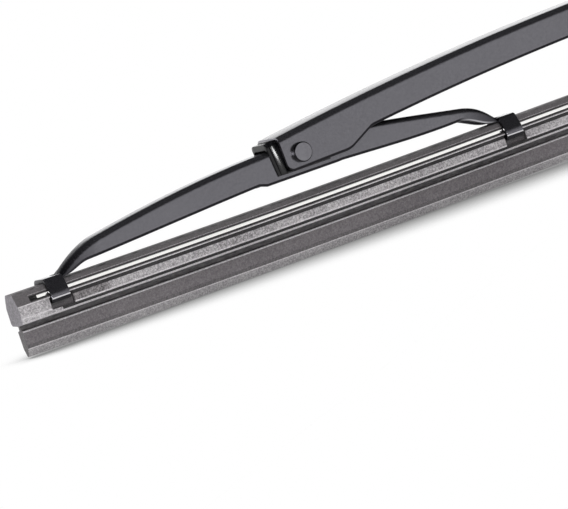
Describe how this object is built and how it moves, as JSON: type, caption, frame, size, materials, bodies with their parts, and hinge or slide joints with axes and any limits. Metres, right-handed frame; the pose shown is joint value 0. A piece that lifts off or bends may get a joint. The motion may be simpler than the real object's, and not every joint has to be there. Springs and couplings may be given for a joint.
{
  "type": "wiper blade",
  "caption": "Pressed-steel windscreen wiper blade: an arched bridge over two pivoting yokes whose claws hold a grey rubber with steel rails.",
  "frame": {"origin": "centre of the arm sleeve's bore, on the blade's middle plane", "axes": "+X along the blade, +Y along the sleeve's bore and the wiping direction, +Z away from the glass"},
  "size_m": [0.329, 0.012, 0.0317],
  "materials": {
    "frame_paint": "satin black paint",
    "rivet_paint": "satin black paint",
    "liner_plastic": "glossy black plastic",
    "grey_rubber": "fine matt grain",
    "rail_steel": "bright rolled steel",
    "sleeve_steel": "plated steel"
  },
  "bodies": {
    "bridge": {"primary_bridge": "frame_paint", "left_rivet": "rivet_paint", "right_rivet": "rivet_paint", "left_liner": "liner_plastic", "right_liner": "liner_plastic", "arm_sleeve": "sleeve_steel", "wiping_rubber": "grey_rubber", "front_rail": "rail_steel", "back_rail": "rail_steel"},
    "left_yoke": {"left_yoke": "frame_paint"},
    "right_yoke": {"right_yoke": "frame_paint"}
  },
  "joints": [
    {"name": "left_pivot", "type": "hinge", "parent": "bridge", "child": "left_yoke", "pos_m": [-0.0975, 0, -0.00446], "axis": [0, 1, 0], "range_deg": [-4, 4], "stiffness_Nm_per_rad": 0.8, "deforming": ["wiping_rubber", "front_rail", "back_rail"]},
    {"name": "right_pivot", "type": "hinge", "parent": "bridge", "child": "right_yoke", "pos_m": [0.0975, 0, -0.00446], "axis": [0, 1, 0], "range_deg": [-4, 4], "stiffness_Nm_per_rad": 0.8, "deforming": ["wiping_rubber", "front_rail", "back_rail"]}
  ]
}
